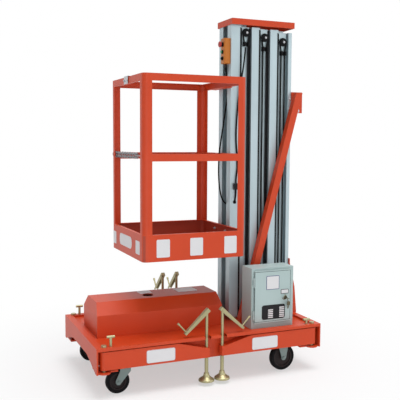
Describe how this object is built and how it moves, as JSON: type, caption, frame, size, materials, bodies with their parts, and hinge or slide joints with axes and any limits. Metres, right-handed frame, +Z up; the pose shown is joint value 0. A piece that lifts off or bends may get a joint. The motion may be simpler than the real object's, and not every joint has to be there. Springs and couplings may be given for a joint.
{
  "type": "vertical mast lift",
  "caption": "Push-around work platform: a guarded basket on a telescopic aluminium mast, over a wheeled base with a power pack, control cabinet and fold-out jacks.",
  "frame": {"origin": "centre of the footprint, on the floor", "axes": "+X along the base from the basket's gate end to the mast end, +Y from the cabinet side to the rear side, +Z up"},
  "size_m": [1.328, 0.9022, 1.991],
  "materials": {
    "orange_paint": "satin",
    "cabinet_paint": "satin",
    "mast_aluminium": "satin",
    "zinc_yellow": "satin",
    "zinc_steel": "satin",
    "black_plastic": "matte",
    "orange_plastic": "gloss",
    "cable_rubber": "matte",
    "tyre_rubber": "matte",
    "pack_grey": "matte"
  },
  "bodies": {
    "chassis": {"chassis_frame": "orange_paint", "deck_tray": "orange_paint", "chassis_pins": "zinc_yellow", "power_cover": "orange_paint", "power_pack": "pack_grey", "cabinet_box": "cabinet_paint", "mast_mounts": "orange_paint", "mast_section_d": "mast_aluminium", "pulley_set_d": "black_plastic", "fixed_forks": "zinc_steel"},
    "cabinet_door": {"cabinet_door": "cabinet_paint"},
    "stage_c": {"mast_section_c": "mast_aluminium", "pulley_set_c": "black_plastic"},
    "stage_b": {"mast_section_b": "mast_aluminium", "pulley_set_b": "black_plastic"},
    "stage_a": {"mast_section_a": "mast_aluminium", "mast_cap": "orange_paint", "basket_frame": "orange_paint", "basket_tray": "orange_paint", "basket_bracket": "orange_paint", "gate_chain": "zinc_steel", "pendant": "orange_plastic", "pendant_cord": "cable_rubber", "platform_cable": "cable_rubber"},
    "arm_front_left": {"arm_front_left": "orange_paint", "screw_front_left": "zinc_yellow"},
    "leg_front_left": {"leg_front_left": "zinc_yellow"},
    "arm_front_right": {"arm_front_right": "orange_paint", "screw_front_right": "zinc_yellow"},
    "leg_front_right": {"leg_front_right": "zinc_yellow"},
    "arm_rear_left": {"arm_rear_left": "orange_paint", "screw_rear_left": "zinc_yellow"},
    "leg_rear_left": {"leg_rear_left": "zinc_yellow"},
    "arm_rear_right": {"arm_rear_right": "orange_paint", "screw_rear_right": "zinc_yellow"},
    "leg_rear_right": {"leg_rear_right": "zinc_yellow"},
    "swivel_front": {"swivel_fork_front": "zinc_steel"},
    "wheel_front_left": {"hub_front_left": "zinc_steel", "tyre_front_left": "tyre_rubber"},
    "wheel_front_right": {"hub_front_right": "zinc_steel", "tyre_front_right": "tyre_rubber"},
    "swivel_rear": {"swivel_fork_rear": "zinc_steel"},
    "wheel_rear_left": {"hub_rear_left": "zinc_steel", "tyre_rear_left": "tyre_rubber"},
    "wheel_rear_right": {"hub_rear_right": "zinc_steel", "tyre_rear_right": "tyre_rubber"}
  },
  "joints": [
    {"name": "mast_slide_c", "type": "slide", "parent": "chassis", "child": "stage_c", "axis": [0, 0, 1], "range_m": [0, 1.33]},
    {"name": "mast_slide_b", "type": "slide", "parent": "stage_c", "child": "stage_b", "axis": [0, 0, 1], "range_m": [0, 1.33]},
    {"name": "mast_slide_a", "type": "slide", "parent": "stage_b", "child": "stage_a", "axis": [0, 0, 1], "range_m": [0, 1.33]},
    {"name": "cabinet_door_hinge", "type": "hinge", "parent": "chassis", "child": "cabinet_door", "pos_m": [0.247, -0.36512, 0.4], "axis": [0, 0, -1], "range_deg": [0, 110]},
    {"name": "arm_front_left_hinge", "type": "hinge", "parent": "chassis", "child": "arm_front_left", "pos_m": [-0.62, -0.40812, 0.2], "axis": [0, 0, -1], "range_deg": [0, 105]},
    {"name": "leg_front_left_slide", "type": "slide", "parent": "arm_front_left", "child": "leg_front_left", "axis": [0, 0, -1], "range_m": [0, 0.075]},
    {"name": "arm_front_right_hinge", "type": "hinge", "parent": "chassis", "child": "arm_front_right", "pos_m": [0.598, -0.40812, 0.2], "axis": [0, 0, 1], "range_deg": [0, 105]},
    {"name": "leg_front_right_slide", "type": "slide", "parent": "arm_front_right", "child": "leg_front_right", "axis": [0, 0, -1], "range_m": [0, 0.075]},
    {"name": "arm_rear_left_hinge", "type": "hinge", "parent": "chassis", "child": "arm_rear_left", "pos_m": [-0.62, 0.28188, 0.2], "axis": [0, 0, 1], "range_deg": [0, 105]},
    {"name": "leg_rear_left_slide", "type": "slide", "parent": "arm_rear_left", "child": "leg_rear_left", "axis": [0, 0, -1], "range_m": [0, 0.075]},
    {"name": "arm_rear_right_hinge", "type": "hinge", "parent": "chassis", "child": "arm_rear_right", "pos_m": [0.598, 0.28188, 0.2], "axis": [0, 0, -1], "range_deg": [0, 105]},
    {"name": "leg_rear_right_slide", "type": "slide", "parent": "arm_rear_right", "child": "leg_rear_right", "axis": [0, 0, -1], "range_m": [0, 0.075]},
    {"name": "swivel_front_turn", "type": "hinge", "parent": "chassis", "child": "swivel_front", "pos_m": [-0.496, -0.34912, 0.15], "axis": [0, 0, 1], "continuous": true},
    {"name": "wheel_front_left_spin", "type": "hinge", "parent": "swivel_front", "child": "wheel_front_left", "pos_m": [-0.534, -0.34912, 0.0625], "axis": [0, 1, 0], "continuous": true},
    {"name": "wheel_front_right_spin", "type": "hinge", "parent": "chassis", "child": "wheel_front_right", "pos_m": [0.438, -0.34912, 0.075], "axis": [0, 1, 0], "continuous": true},
    {"name": "swivel_rear_turn", "type": "hinge", "parent": "chassis", "child": "swivel_rear", "pos_m": [-0.496, 0.22288, 0.15], "axis": [0, 0, 1], "continuous": true},
    {"name": "wheel_rear_left_spin", "type": "hinge", "parent": "swivel_rear", "child": "wheel_rear_left", "pos_m": [-0.534, 0.22288, 0.0625], "axis": [0, 1, 0], "continuous": true},
    {"name": "wheel_rear_right_spin", "type": "hinge", "parent": "chassis", "child": "wheel_rear_right", "pos_m": [0.438, 0.22288, 0.075], "axis": [0, 1, 0], "continuous": true}
  ],
  "couplings": [
    {"joint": "mast_slide_b", "follows": "mast_slide_c", "ratio": 1},
    {"joint": "mast_slide_a", "follows": "mast_slide_c", "ratio": 1}
  ]
}
